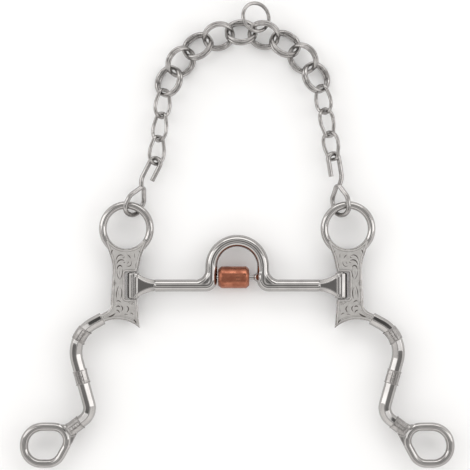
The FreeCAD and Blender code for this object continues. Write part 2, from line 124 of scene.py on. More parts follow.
class NodeBench:
    """Adds and joins the nodes of one tree."""

    def __init__(self, tree: bpy.types.NodeTree) -> None:
        """Keeps the tree that the nodes go in.

        Args:
            tree: A shader or geometry tree.
        """
        self.tree = tree

    def socket(self, name: str, kind: str, way: str = "INPUT", value: object = None) -> str:
        """Adds a named socket to the tree's own face.

        Args:
            name: The socket's name.
            kind: Its type without the NodeSocket prefix.
            way: INPUT or OUTPUT.
            value: The starting value, if it has one.

        Returns:
            The socket's identifier.
        """
        made = self.tree.interface.new_socket(name=name, in_out=way, socket_type="NodeSocket" + kind)
        if value is not None:
            made.default_value = value
        return made.identifier

    def add(self, kind: str, **values: object) -> bpy.types.Node:
        """Adds a node and sets what is named.

        Args:
            kind: The node's class name.
            **values: Node properties by name, or input values under their socket's
                name in lower case with underscores. A socket is joined, not copied.

        Returns:
            The new node.
        """
        node = self.tree.nodes.new(kind)
        joined = bpy.types.NodeSocket
        plain = {name for name, value in values.items()
                 if name in node.bl_rna.properties and not isinstance(value, joined)}
        for name in plain:
            setattr(node, name, values[name])
        for name, value in values.items():
            if name not in plain:
                self.set(node, name, value)
        return node

    def set(self, node: bpy.types.Node, name: str, value: object) -> None:
        """Gives a node's input a value, or joins a socket to it.

        Args:
            node: The node.
            name: The input's name in lower case with underscores, or its number after "in".
            value: A plain value, or an output socket.
        """
        if name.startswith("in") and name[2:].isdigit():
            target = node.inputs[int(name[2:])]
        else:
            target = next(s for s in node.inputs
                          if s.enabled and s.name.lower().replace(" ", "_") == name)
        if isinstance(value, bpy.types.NodeSocket):
            self.tree.links.new(value, target)
        else:
            target.default_value = value

    def finish_shape(self, shape: bpy.types.NodeSocket, material: bpy.types.NodeSocket) -> None:
        """Ends a geometry tree with smooth, realized faces in their material.

        Args:
            shape: The geometry so far.
            material: The tree's material input.
        """
        smooth = self.add("GeometryNodeSetShadeSmooth", geometry=shape)
        real = self.add("GeometryNodeRealizeInstances", geometry=smooth.outputs[0])
        done = self.add("GeometryNodeSetMaterial", geometry=real.outputs[0], material=material)
        self.set(self.add("NodeGroupOutput"), "geometry", done.outputs[0])


class MetalEffects:
    """Shader groups that several of the metals share."""

    def __init__(self) -> None:
        """Builds both groups once."""
        self.grain = self._grain()
        self.handling = self._handling()

    def _grain(self) -> bpy.types.NodeTree:
        """Fine polishing or turning lines, stretched along one axis.

        Returns:
            A group that puts out Height.
        """
        tree = bpy.data.node_groups.new("polishing_grain", "ShaderNodeTree")
        bench = NodeBench(tree)
        bench.socket("Stretch", "Vector", value=(1.0, 1.0, 1.0))
        bench.socket("Scale", "Float", value=1000.0)
        bench.socket("Depth", "Float", value=0.5)
        bench.socket("Height", "Float", "OUTPUT")
        face = bench.add("NodeGroupInput")
        place = bench.add("ShaderNodeTexCoord").outputs["Object"]
        stretched = bench.add("ShaderNodeVectorMath", operation="MULTIPLY",
                              in0=place, in1=face.outputs["Stretch"]).outputs[0]
        fine = bench.add("ShaderNodeTexNoise", vector=stretched, scale=face.outputs["Scale"],
                         detail=3.0, roughness=0.6).outputs["Fac"]
        height = bench.add("ShaderNodeMath", operation="MULTIPLY",
                           in0=fine, in1=face.outputs["Depth"]).outputs[0]
        out = bench.add("NodeGroupOutput")
        bench.set(out, "height", height)
        return tree

    def _handling(self) -> bpy.types.NodeTree:
        """Faint smudges and dull patches left by hands and use.

        Returns:
            A group that puts out Roughness and a Tint mask.
        """
        tree = bpy.data.node_groups.new("handling_marks", "ShaderNodeTree")
        bench = NodeBench(tree)
        bench.socket("Scale", "Float", value=60.0)
        bench.socket("Least", "Float", value=0.1)
        bench.socket("Most", "Float", value=0.25)
        bench.socket("Roughness", "Float", "OUTPUT")
        bench.socket("Tint", "Float", "OUTPUT")
        face = bench.add("NodeGroupInput")
        place = bench.add("ShaderNodeTexCoord").outputs["Object"]
        broad = bench.add("ShaderNodeTexNoise", vector=place, scale=face.outputs["Scale"],
                          detail=4.0, roughness=0.55).outputs["Fac"]
        mask = bench.add("ShaderNodeMapRange", interpolation_type="SMOOTHSTEP", value=broad,
                         from_min=0.38, from_max=0.66).outputs[0]
        rough = bench.add("ShaderNodeMapRange", value=mask, to_min=face.outputs["Least"],
                          to_max=face.outputs["Most"]).outputs[0]
        out = bench.add("NodeGroupOutput")
        bench.set(out, "roughness", rough)
        bench.set(out, "tint", mask)
        return tree


@dataclass(frozen=True)
class Finish:
    """One treatment of the bit's metal.

    Scales are waves to a metre, roughness is the least and the most over the
    surface, and recess is the colour that gathers in engraved cuts.
    """

    name: str
    slot: Slot
    colour: tuple[float, float, float]
    dull: tuple[float, float, float]
    roughness: tuple[float, float]
    metallic: float = 1.0
    grain_scale: float = 1500.0
    grain_stretch: tuple[float, float, float] = (1.0, 1.0, 1.0)
    grain_depth: float = 0.4
    grain_height: float = 0.00001
    mark_scale: float = 70.0
    recess: tuple[float, float, float] | None = None

    def material(self, effects: MetalEffects) -> bpy.types.Material:
        """Builds the finish's material.

        Args:
            effects: The shared shader groups.

        Returns:
            The material.
        """
        made = bpy.data.materials.new(self.name)
        made.use_nodes = True
        made.node_tree.nodes.clear()
        bench = NodeBench(made.node_tree)
        grain = bench.add("ShaderNodeGroup", node_tree=effects.grain, scale=self.grain_scale,
                          stretch=self.grain_stretch, depth=self.grain_depth)
        least, most = self.roughness
        marks = bench.add("ShaderNodeGroup", node_tree=effects.handling,
                          scale=self.mark_scale, least=least, most=most)
        colour = self._mix(bench, marks.outputs["Tint"], self.colour, self.dull)
        rough = marks.outputs["Roughness"]
        if self.recess is not None:
            depth = bench.add("ShaderNodeAttribute", attribute_name=CUT).outputs["Fac"]
            cut = bench.add("ShaderNodeMapRange", value=depth, from_min=0.05,
                            from_max=0.55).outputs[0]
            colour = self._mix(bench, cut, colour, self.recess)
            rough = bench.add("ShaderNodeMath", operation="MULTIPLY_ADD",
                              in0=cut, in1=0.25, in2=rough).outputs[0]
        bump = bench.add("ShaderNodeBump", strength=1.0, distance=self.grain_height,
                         height=grain.outputs["Height"])
        metal = bench.add("ShaderNodeBsdfPrincipled", metallic=self.metallic,
                          base_color=colour, roughness=rough, normal=bump.outputs[0])
        out = bench.add("ShaderNodeOutputMaterial")
        bench.set(out, "surface", metal.outputs[0])
        return made

    @staticmethod
    def _mix(bench: NodeBench, share: bpy.types.NodeSocket, first: object,
             second: object) -> bpy.types.NodeSocket:
        """Mixes two colours.

        Args:
            bench: The material's bench.
            share: How much of the second shows.
            first: A colour, or a socket that gives one.
            second: A colour.

        Returns:
            The mixed colour's socket.
        """
        mix = bench.add("ShaderNodeMix", data_type="RGBA")
        bench.set(mix, "in0", share)
        bench.set(mix, "in6", first if isinstance(first, bpy.types.NodeSocket) else (*first, 1.0))
        bench.set(mix, "in7", (*second, 1.0))
        return mix.outputs[2]


POLISHED = Finish("polished_steel", Slot.STEEL, (0.43, 0.418, 0.408), (0.37, 0.358, 0.35),
                  (0.045, 0.10), grain_depth=0.25, grain_height=0.000003)
WIRE = Finish("rolled_wire", Slot.STEEL, (0.40, 0.388, 0.38), (0.30, 0.288, 0.28),
              (0.16, 0.30), grain_scale=2600.0, grain_height=0.00001, mark_scale=160.0)
SILVER = Finish("engraved_silver", Slot.SILVER, (0.56, 0.545, 0.53), (0.47, 0.455, 0.44),
                (0.34, 0.46), metallic=0.8, grain_scale=3200.0, grain_height=0.00003,
                mark_scale=320.0, recess=(0.055, 0.045, 0.04))
BAND = Finish("engraved_band", Slot.SILVER, (0.40, 0.385, 0.375), (0.30, 0.288, 0.28),
              (0.24, 0.36), grain_scale=3200.0, grain_height=0.00002, mark_scale=320.0)
COPPER = Finish("turned_copper", Slot.COPPER, (0.40, 0.155, 0.095), (0.28, 0.10, 0.060),
                (0.24, 0.38), grain_scale=900.0, grain_stretch=(0.35, 3.0, 3.0),
                grain_depth=0.7, grain_height=0.00004, mark_scale=230.0)


class Dresser:
    """Gives pieces and CAD nodes their finish, and hands pieces to their body."""

    def __init__(self) -> None:
        """Builds every finish once."""
        effects = MetalEffects()
        finishes = (POLISHED, WIRE, SILVER, BAND, COPPER)
        self.materials = {finish: finish.material(effects) for finish in finishes}

    def paint(self, mesh: bpy.types.Mesh, finish: Finish) -> None:
        """Puts one finish on a whole mesh.

        Args:
            mesh: The piece's mesh.
            finish: What it gets.
        """
        mesh.materials.clear()
        mesh.materials.append(self.materials[finish])

    def carry_over(self, node: str, finish: Finish) -> None:
        """Gives a CAD node that stays in view its finish.

        Args:
            node: The node's name.
            finish: What it gets.
        """
        for place in frame["nodes"][node].material_slots:
            place.material = self.materials[finish]

    def fit(self, piece: bpy.types.Object, body: str, finish: Finish, *nodes: str) -> None:
        """Paints a piece and hands it to its body.

        Args:
            piece: The finished mesh object, at the origin.
            body: The CAD body that it rides on.
            finish: Its finish.
            *nodes: CAD nodes that it stands for.
        """
        self.paint(piece.data, finish)
        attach(piece, body)
        if nodes:
            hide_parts(*nodes)
        LOG.info("%s: %d faces on %s", piece.name, len(piece.data.polygons), body)


def new_piece(name: str, mesh: bpy.types.Mesh) -> bpy.types.Object:
    """A mesh object at the origin, in the scene.

    Args:
        name: The piece's name.
        mesh: Its mesh.

    Returns:
        The object.
    """
    piece = bpy.data.objects.new(name, mesh)
    bpy.context.scene.collection.objects.link(piece)
    return piece


def settled(host: bpy.types.Object, name: str) -> bpy.types.Object:
    """Turns a host with modifiers into a plain mesh piece and drops the host.

    Args:
        host: A mesh or curve object with its modifiers set.
        name: The new piece's name.

    Returns:
        A mesh object with no modifiers.
    """
    bpy.context.view_layer.update()
    ready = host.evaluated_get(bpy.context.evaluated_depsgraph_get())
    mesh = bpy.data.meshes.new_from_object(ready)
    mesh.name = name
    bpy.data.objects.remove(host)
    return new_piece(name, mesh)


def merged_copy(node: str) -> bmesh.types.BMesh:
    """A CAD node's mesh with its loose triangles joined.

    Args:
        node: The node's name.

    Returns:
        The joined mesh, for the caller to free.
    """
    copy = bmesh.new()
    copy.from_mesh(frame["nodes"][node].data)
    bmesh.ops.remove_doubles(copy, verts=copy.verts, dist=0.001 * MM)
    return copy


def points_of(mesh: bpy.types.Mesh) -> np.ndarray:
    """A mesh's vertices as rows, in metres."""
    points = np.zeros(len(mesh.vertices) * 3)
    mesh.vertices.foreach_get("co", points)
    return points.reshape(-1, 3)


def line_host(name: str, lines: list[np.ndarray], closed: bool) -> bpy.types.Object:
    """A curve object of straight runs, for a Geometry Nodes tree to work on.

    Args:
        name: The name of the piece that it becomes.
        lines: The lines in the row frame, in metres.
        closed: Whether each line joins its own start.

    Returns:
        The object.
    """
    curve = bpy.data.curves.new(name + "_line", "CURVE")
    curve.dimensions = "3D"
    for line in lines:
        spline = curve.splines.new("POLY")
        spline.points.add(len(line) - 1)
        spline.points.foreach_set("co", np.c_[line, np.ones(len(line))].ravel())
        spline.use_cyclic_u = closed
    return new_piece(name + "_host", curve)


def mouth_line() -> float:
    """The mouthpiece's line on Y, worked out from the top of its port."""
    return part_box("mouthpiece")[1].y - CROWN_TOP * MM


def middle(node: str) -> Vector:
    """The middle of a CAD node's box."""
    low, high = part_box(node)
    return (low + high) / 2


@dataclass
class NodeFrame:
    """A CAD node's own axes, worked out from its surface.

    Attributes:
        centre: The middle of its extents along the axes, in metres.
        axes: Its long, cross and thin axes as rows.
        half: Half its extent along each axis, in metres.
        spread: Its points along the axes, from the centre.
    """

    centre: np.ndarray
    axes: np.ndarray
    half: np.ndarray
    spread: np.ndarray

    @classmethod
    def of(cls, node: str) -> "NodeFrame":
        """Works out the frame of a CAD node from its triangles' areas.

        Args:
            node: The node's name.

        Returns:
            The frame.
        """
        mesh = frame["nodes"][node].data
        mesh.calc_loop_triangles()
        points = points_of(mesh)
        corners = points[np.array([t.vertices for t in mesh.loop_triangles])]
        area = np.linalg.norm(np.cross(corners[:, 1] - corners[:, 0],
                                       corners[:, 2] - corners[:, 0]), axis=1)
        middles = corners.mean(axis=1)
        centre = (middles * area[:, None]).sum(0) / area.sum()
        away = middles - centre
        _, axes = np.linalg.eigh((away * area[:, None]).T @ away)
        axes = axes.T[::-1]
        axes[2] = np.cross(axes[0], axes[1])
        spread = (points - centre) @ axes.T
        low, high = spread.min(0), spread.max(0)
        shift = (low + high) / 2
        return cls(centre + shift @ axes, axes, (high - low) / 2, spread - shift)

    def place(self, flat: np.ndarray) -> np.ndarray:
        """Puts points of the long and cross axes into the row frame.

        Args:
            flat: Points as rows of two or three, in metres.

        Returns:
            The points in the row frame.
        """
        return self.centre + flat @ self.axes[: flat.shape[1]]


def rounded_loop(corners: tuple[tuple[float, float, float], ...], steps: int = 14) -> np.ndarray:
    """A closed outline with each corner rounded.

    Args:
        corners: Each corner's x, y and rounding, in order round the outline.
        steps: Points along each rounding.

    Returns:
        The outline's points, evenly close along its curves and runs.
    """
    points = [np.array(c[:2]) for c in corners]
    loop: list[np.ndarray] = []
    for i, (corner, (_, _, radius)) in enumerate(zip(points, corners)):
        back, ahead = points[i - 1] - corner, points[(i + 1) % len(points)] - corner
        back, ahead = back / np.linalg.norm(back), ahead / np.linalg.norm(ahead)
        half = math.acos(float(np.clip(back @ ahead, -1, 1))) / 2
        centre = corner + (back + ahead) / np.linalg.norm(back + ahead) * radius / math.sin(half)
        first = corner + back * radius / math.tan(half) - centre
        last = corner + ahead * radius / math.tan(half) - centre
        turn = math.atan2(first[0] * last[1] - first[1] * last[0], first @ last)
        for k in range(steps + 1):
            angle = turn * k / steps
            spun = (first[0] * math.cos(angle) - first[1] * math.sin(angle),
                    first[0] * math.sin(angle) + first[1] * math.cos(angle))
            loop.append(centre + np.array(spun))
    return np.array(loop)


class BentWireTree:
    """Geometry Nodes tree that gives closed outlines round wire and a weld seam."""

    def __init__(self) -> None:
        """Builds the tree once."""
        self.tree = bpy.data.node_groups.new("bent_wire", "GeometryNodeTree")
        self.inputs: dict[str, str] = {}
        self._build()

    def _build(self) -> None:
        """Joins the nodes from outline to wire."""
        bench = NodeBench(self.tree)
        bench.socket("Geometry", "Geometry")
        for name, kind, value in (("Wire Radius", "Float", 1.15 * MM), ("Sides", "Int", 20),
                                  ("Spacing", "Float", 0.5 * MM), ("Seam Length", "Float", 0.7 * MM),
                                  ("Seam Swell", "Float", 0.05)):
            self.inputs[name] = bench.socket(name, kind, value=value)
        self.inputs["Material"] = bench.socket("Material", "Material")
        bench.socket("Geometry", "Geometry", "OUTPUT")
        face = bench.add("NodeGroupInput")
        even = bench.add("GeometryNodeResampleCurve", mode="LENGTH")
        bench.set(even, "curve", face.outputs["Geometry"])
        bench.set(even, "length", face.outputs["Spacing"])
        swell = self._seam(bench, face)
        round_wire = bench.add("GeometryNodeCurvePrimitiveCircle", mode="RADIUS")
        bench.set(round_wire, "resolution", face.outputs["Sides"])
        bench.set(round_wire, "radius", face.outputs["Wire Radius"])
        thick = bench.add("GeometryNodeSetCurveRadius", curve=even.outputs[0], radius=swell)
        skin = bench.add("GeometryNodeCurveToMesh", curve=thick.outputs[0],
                         profile_curve=round_wire.outputs[0])
        if "Scale" in skin.inputs:
            bench.set(skin, "scale", swell)
        bench.finish_shape(skin.outputs[0], face.outputs["Material"])

    @staticmethod
    def _seam(bench: NodeBench, face: bpy.types.Node) -> bpy.types.NodeSocket:
        """The wire's share of its own radius, which swells at the weld.

        Args:
            bench: The tree's bench.
            face: Its group input.

        Returns:
            The share's socket.
        """
        along = bench.add("GeometryNodeSplineParameter").outputs["Factor"]
        whole = bench.add("GeometryNodeSplineLength").outputs["Length"]
        other = bench.add("ShaderNodeMath", operation="SUBTRACT", in0=1.0, in1=along).outputs[0]
        near = bench.add("ShaderNodeMath", operation="MINIMUM", in0=along, in1=other).outputs[0]
        reach = bench.add("ShaderNodeMath", operation="MULTIPLY", in0=near, in1=whole).outputs[0]
        swell = bench.add("ShaderNodeMapRange", interpolation_type="SMOOTHSTEP", value=reach,
                          from_min=0.0, from_max=face.outputs["Seam Length"],
                          to_min=face.outputs["Seam Swell"], to_max=0.0).outputs[0]
        return bench.add("ShaderNodeMath", operation="ADD", in0=swell, in1=1.0).outputs[0]

    def wire(self, name: str, loops: list[np.ndarray], material: bpy.types.Material,
             **sizes: float) -> bpy.types.Object:
        """Makes one piece of bent wire from closed outlines.

        Args:
            name: The piece's name.
            loops: The wire's centre lines in the row frame, in metres.
            material: The wire's material.
            **sizes: Tree inputs by name with underscores.

        Returns:
            A plain mesh piece.
        """
        host = line_host(name, loops, True)
        bend = host.modifiers.new("bent_wire", "NODES")
        bend.node_group = self.tree
        for size, value in sizes.items():
            bend[self.inputs[size.replace("_", " ").title()]] = value
        bend[self.inputs["Material"]] = material
        piece = settled(host, name)
        tidy_surface(piece.data)
        return piece


def tidy_surface(mesh: bpy.types.Mesh) -> None:
    """Merges doubles and turns every face outward.

    Args:
        mesh: A closed mesh.
    """
    work = bmesh.new()
    work.from_mesh(mesh)
    bmesh.ops.remove_doubles(work, verts=work.verts, dist=0.0005 * MM)
    bmesh.ops.recalc_face_normals(work, faces=work.faces)
    work.to_mesh(mesh)
    work.free()


@dataclass
class CurbChain:
    """Chain of pear links and paired rings, and the loose ring on it.

    Attributes:
        pear: Corners of an end link's centre line, long axis on X.
        ring_points: Points round each ring's centre line.
    """

    pear: tuple[tuple[float, float, float], ...] = (
        (-8.8, -6.6, 6.5), (-8.8, 6.6, 6.5), (1.0, 6.0, 9.0),
        (8.8, 3.4, 3.3), (8.8, -3.4, 3.3), (1.0, -6.0, 9.0))
    ring_points: int = 96

    def build(self, dresser: Dresser) -> None:
        """Makes every link as bent wire on its own body.

        Args:
            dresser: Paints and places the pieces.
        """
        tree = BentWireTree()
        material = dresser.materials[WIRE]
        for body, nodes in frame["record"]["behaviour"]["bodies"].items():
            if body.startswith("double_link") or body == "fly_ring":
                loops, wire = self._rings(nodes)
            elif "end_link" in body:
                loops, wire = self._pear(nodes[0])
            else:
                continue
            piece = tree.wire(body + "_wire", loops, material, wire_radius=wire)
            dresser.fit(piece, body, WIRE, *nodes)
        for node in frame["nodes"]:
            if node.endswith("_hook"):
                dresser.carry_over(node, WIRE)

    def _rings(self, nodes: list[str]) -> tuple[list[np.ndarray], float]:
        """Centre lines of round rings and their wire's radius.

        Args:
            nodes: The rings' CAD nodes.

        Returns:
            One loop for each ring, and the radius in metres.
        """
        loops, wire = [], 0.0
        for node in nodes:
            own = NodeFrame.of(node)
            wire = float(own.half[2])
            radius = float(own.half[0]) - wire
            angle = np.linspace(0, math.tau, self.ring_points, endpoint=False)
            loops.append(own.place(np.c_[np.cos(angle), np.sin(angle)] * radius))
        return loops, wire

    def _pear(self, node: str) -> tuple[list[np.ndarray], float]:
        """Centre line of a pear link and its wire's radius.

        Args:
            node: The link's CAD node.

        Returns:
            The loop in a list, and the radius in metres.
        """
        own = NodeFrame.of(node)
        width = [np.abs(own.spread[own.spread[:, 0] * sign > 0, 1]).mean() for sign in (-1, 1)]
        flat = rounded_loop(self.pear) * MM
        if width[1] > width[0]:
            flat[:, 0] *= -1
        return [own.place(flat)], float(own.half[2])


class CastBody:
    """Joins overlapping closed shapes into one smooth-edged body of metal."""

    def __init__(self, name: str, voxel: float) -> None:
        """Starts an empty body.

        Args:
            name: The piece's name.
            voxel: Size of the joining grid, in millimetres.
        """
        self.name = name
        self.voxel = voxel
        self.work = bmesh.new()

    def loft(self, rings: list[np.ndarray]) -> None:
        """Adds a closed shape through rings of equal count.

        Args:
            rings: Each ring's points in the row frame, in metres.
        """
        rows = [[self.work.verts.new(p) for p in ring] for ring in rings]
        count = len(rows[0])
        for low, high in zip(rows, rows[1:]):
            for i in range(count):
                j = (i + 1) % count
                self.work.faces.new((low[i], low[j], high[j], high[i]))
        self.work.faces.new(rows[0][::-1])
        self.work.faces.new(rows[-1])

    def take(self, node: str) -> None:
        """Adds a joined copy of a CAD node.

        Args:
            node: The node's name.
        """
        copy = merged_copy(node)
        scrap = bpy.data.meshes.new(node + "_copy")
        copy.to_mesh(scrap)
        copy.free()
        self.work.from_mesh(scrap)
        bpy.data.meshes.remove(scrap)

    def stock(self) -> bpy.types.Object:
        """The shapes as they stand, not yet joined, with their normals outward."""
        mesh = bpy.data.meshes.new(self.name + "_stock")
        bmesh.ops.recalc_face_normals(self.work, faces=self.work.faces)
        self.work.to_mesh(mesh)
        self.work.free()
        return new_piece(mesh.name, mesh)

    def pour(self) -> bpy.types.Object:
        """Joins everything on the grid.

        Returns:
            The joined piece, not yet smoothed.
        """
        host = self.stock()
        join = host.modifiers.new("join", "REMESH")
        join.mode = "VOXEL"
        join.voxel_size = self.voxel * MM
        join.use_smooth_shade = True
        return settled(host, self.name)


def polish(mesh: bpy.types.Mesh, rounds: int, share: np.ndarray | None = None,
           keep_size: bool = True) -> None:
    """Smooths a mesh as a polishing wheel would.

    Args:
        mesh: The mesh.
        rounds: How many passes.
        share: Each vertex's share of the smoothing, or None for all of it.
        keep_size: Whether each pass gives back the size that it takes.
    """
    points = points_of(mesh)
    edges = np.zeros(len(mesh.edges) * 2, np.int64)
    mesh.edges.foreach_get("vertices", edges)
    first, second = edges.reshape(-1, 2).T
    here, there = np.r_[first, second], np.r_[second, first]
    count = np.bincount(here, minlength=len(points))[:, None].clip(1)
    weight = np.ones((len(points), 1)) if share is None else share[:, None]
    for _ in range(rounds):
        for strength in (0.5, -0.52) if keep_size else (0.5,):
            around = np.stack([np.bincount(here, points[there, axis], len(points))
                               for axis in range(3)], axis=1) / count
            points = points + weight * strength * (around - points)
    mesh.vertices.foreach_set("co", points.ravel())
    mesh.update()


def near(mesh: bpy.types.Mesh, centre: Vector, reach: float) -> np.ndarray:
    """Each vertex's closeness to a point, from 1 down to 0.

    Args:
        mesh: The mesh.
        centre: The point, in metres.
        reach: Where closeness runs out, in millimetres.

    Returns:
        One number for each vertex.
    """
    gap = np.linalg.norm(points_of(mesh) - np.array(centre), axis=1) / (reach * MM)
    share = np.clip(1.5 - 1.5 * gap, 0, 1)
    return share * share * (3 - 2 * share)


@dataclass(frozen=True)
class Blend:
    """How a joint is rounded over.

    Attributes:
        reach: How far from its middle, in millimetres.
        rounds: Passes of the polishing wheel.
        keep_size: Whether the metal there keeps its size.
    """

    reach: float
    rounds: int
    keep_size: bool = False

    def wear(self, mesh: bpy.types.Mesh, centre: Vector) -> None:
        """Rounds a mesh over about a point given in metres."""
        polish(mesh, self.rounds, near(mesh, centre, self.reach), self.keep_size)


@dataclass
class Mouthpiece:
    """Bent bar with a raised port, fishtail ends and hinge barrels.

    Attributes:
        bar: Bar's radius.
        port: Port leg's centre from the middle.
        rise: Height of the port's crown centre line.
        corner: Bend between bar and leg, on the centre line.
        web: Radius of the web's wire and of its bend.
        barrel: Barrel's radius and half length.
        bore: Barrel's bore.
        tail: Where the fishtail starts and where its collar starts, from the hinge.
        tail_end: Its last section: half width, half side, half facet, half thickness.
        collar: The collar's sections: distance from the hinge, then the same sizes.
        boss: Boss sections: distance from the middle and radius.
        boss_height: Height of the boss over the bar.
        rounds: Polishing passes over the whole casting.
        leg_blend: Rounding where the bar turns into a leg.
        root_blend: Rounding where a fishtail leaves the bar.
        boss_blend: Rounding at the boss's foot.
        tail_overlap: How far the bar runs into the fishtail.
        tail_steps: Sections along the fishtail.
        tail_curve: How late the fishtail widens: 1 is a straight taper.
        drill_half: Half length of the bore's drill.
        voxel: Joining grid.
    """

    bar: float = 3.85
    port: float = 16.5
    rise: float = 28.5
    corner: float = 3.4
    web: tuple[float, float] = (3.7, 10.4)
    barrel: tuple[float, float] = (3.8, 8.1)
    bore: float = 1.68
    tail: tuple[float, float] = (15.0, 2.6)
    tail_end: tuple[float, float, float, float] = (7.55, 2.1, 5.3, 3.35)
    collar: tuple[tuple[float, ...], ...] = (
        (2.2, 7.6, 2.2, 5.7, 4.0), (0.9, 7.6, 2.2, 5.7, 4.0), (0.7, 7.4, 2.0, 5.5, 3.5))
    boss: tuple[tuple[float, float], ...] = (
        (14.6, 4.6), (13.4, 3.7), (12.6, 2.9), (11.6, 2.3), (10.4, 2.0))
    boss_height: float = 5.2
    rounds: int = 8
    leg_blend: Blend = Blend(12.0, 14)
    root_blend: Blend = Blend(7.0, 60, True)
    boss_blend: Blend = Blend(4.5, 24)
    tail_overlap: float = 1.0
    tail_steps: int = 13
    tail_curve: float = 1.9
    drill_half: float = 12.0
    voxel: float = 0.32

    def build(self, dresser: Dresser) -> None:
        """Makes the mouthpiece and its roller pin's finish.

        Args:
            dresser: Paints and places the piece.
        """
        self.line = middle("left_hinge_pin").lerp(middle("right_hinge_pin"), 0.5)
        self.line.y = mouth_line()
        self.hinge = middle("right_hinge_pin").x / MM
        body = CastBody("mouthpiece_cast", self.voxel)
        body.loft(self._tube(self._route(), self.bar))
        for side in Side:
            body.loft(self._tube(self._web(side.value), self.web[0]))
            body.loft(self._tail(side.value))
            body.loft(self._barrel(side.value))
        body.loft(self._boss())
        piece = body.pour()
        polish(piece.data, self.rounds)
        for side in Side:
            joint = self.line + Vector((side.value * self.port, 0.5 * self.web[1], 0)) * MM
            self.leg_blend.wear(piece.data, joint)
            root = self.line + Vector((side.value * (self.hinge - self.tail[0]), 0, 0)) * MM
            self.root_blend.wear(piece.data, root)
        foot = self.line + Vector((self.boss[1][0], self.boss_height, 0)) * MM
        self.boss_blend.wear(piece.data, foot)
        piece = self._drilled(piece, "mouthpiece_polished")
        dresser.fit(piece, "mouthpiece", POLISHED, "mouthpiece")
        dresser.carry_over("roller_pin", POLISHED)

    def _put(self, x: object, y: object, z: object) -> np.ndarray:
        """Points in millimetres from the bar's middle, put in the row frame.

        Args:
            x: Their places along the bar: one number, or one for each point.
            y: The same, up the port.
            z: The same, off the table.

        Returns:
            One row for each point, in metres.
        """
        return np.array(self.line) + np.stack(np.broadcast_arrays(x, y, z), axis=1) * MM

    def _route(self) -> np.ndarray:
        """Centre line of the bar, up one leg, over the port and down the other.

        Returns:
            Points in the row frame, in millimetres from the bar's middle.
        """
        start = self.hinge - self.tail[0] + self.tail_overlap
        crown = self.rise - self.port
        half = [(-start, 0.0), (-self.port - self.corner - 4.0, 0.0)]
        for k in range(9):
            angle = math.radians(-90 + 90 * k / 8)
            half.append((-self.port - self.corner + self.corner * math.cos(angle),
                         self.corner + self.corner * math.sin(angle)))
        half.append((-self.port, crown - 1.0))
        arch = [(self.port * math.cos(a), crown + self.port * math.sin(a))
                for a in np.linspace(math.pi, 0, 33)]
        other = [(-x, y) for x, y in reversed(half)]
        return np.array(half + arch + other)

    def _web(self, side: int) -> np.ndarray:
        """Centre line of the web between bar and leg.

        Args:
            side: Sign of X.

        Returns:
            Points in millimetres from the bar's middle.
        """
        bend = self.web[1]
        angles = np.radians(np.linspace(180, 270, 15))
        return np.c_[side * (self.port + bend + bend * np.cos(angles)), bend + bend * np.sin(angles)]

    def _tube(self, route: np.ndarray, radius: float, sides: int = 32) -> list[np.ndarray]:
        """Round rings along a flat route.

        Args:
            route: Points in millimetres from the bar's middle.
            radius: The tube's radius, in millimetres.
            sides: Points round each ring.

        Returns:
            The rings in the row frame, in metres.
        """
        heading = np.gradient(route, axis=0)
        heading /= np.linalg.norm(heading, axis=1)[:, None]
        angle = np.linspace(0, math.tau, sides, endpoint=False)
        rings = []
        for (x, y), (u, v) in zip(route, heading):
            out = radius * np.cos(angle)
            rings.append(self._put(x - v * out, y + u * out, radius * np.sin(angle)))
        return rings

    def _tail(self, side: int) -> list[np.ndarray]:
        """Fishtail sections from the bar to the barrel.

        Args:
            side: Sign of X.

        Returns:
            The rings in the row frame, in metres.
        """
        start, end = self.tail
        wide, low, facet, thick = self.tail_end
        angle = np.radians([22.5, 67.5])
        root = self.bar * np.c_[np.cos(angle), np.sin(angle)]
        sections = []
        for t in np.linspace(0, 1, self.tail_steps):
            share = t ** self.tail_curve
            low_corner = root[0] * (1 - share) + np.array((wide, low)) * share
            high_corner = root[1] * (1 - t) + np.array((facet * t, thick)) * t
            sections.append((start + (end - start) * t, *low_corner, *high_corner))
        rings = []
        for back, *corners in [*sections, *self.collar]:
            rings.append(self._bevelled_ring(side * (self.hinge - back), corners))
        return rings

    def _bevelled_ring(self, x: float, corners: list[float]) -> np.ndarray:
        """An eight-cornered section across the bar.

        Args:
            x: Its place from the middle, in millimetres.
            corners: The low corner's y and z, then the high corner's.

        Returns:
            The ring in the row frame, in metres.
        """
        low, high = corners[:2], corners[2:]
        quarter = [tuple(low), tuple(high)]
        ring = quarter + [(-y, z) for y, z in reversed(quarter)]
        ring += [(y, -z) for y, z in reversed(ring)]
        return self._put(x, *np.array(ring).T)

    def _barrel(self, side: int) -> list[np.ndarray]:
        """Barrel rings with eased ends.

        Args:
            side: Sign of X.

        Returns:
            The rings in the row frame, in metres.
        """
        radius, half = self.barrel
        angle = np.linspace(0, math.tau, 48, endpoint=False)
        rings = []
        for y, r in ((-half, radius - 0.5), (0.5 - half, radius), (half - 0.5, radius),
                     (half, radius - 0.5)):
            rings.append(self._put(side * self.hinge + r * np.cos(angle), y, r * np.sin(angle)))
        return rings

    def _boss(self) -> list[np.ndarray]:
        """Trumpet-shaped boss that holds the roller pin on one leg.

        Returns:
            The rings in the row frame, in metres.
        """
        angle = np.linspace(0, math.tau, 32, endpoint=False)
        return [self._put(x, self.boss_height + r * np.cos(angle), r * np.sin(angle))
                for x, r in self.boss]

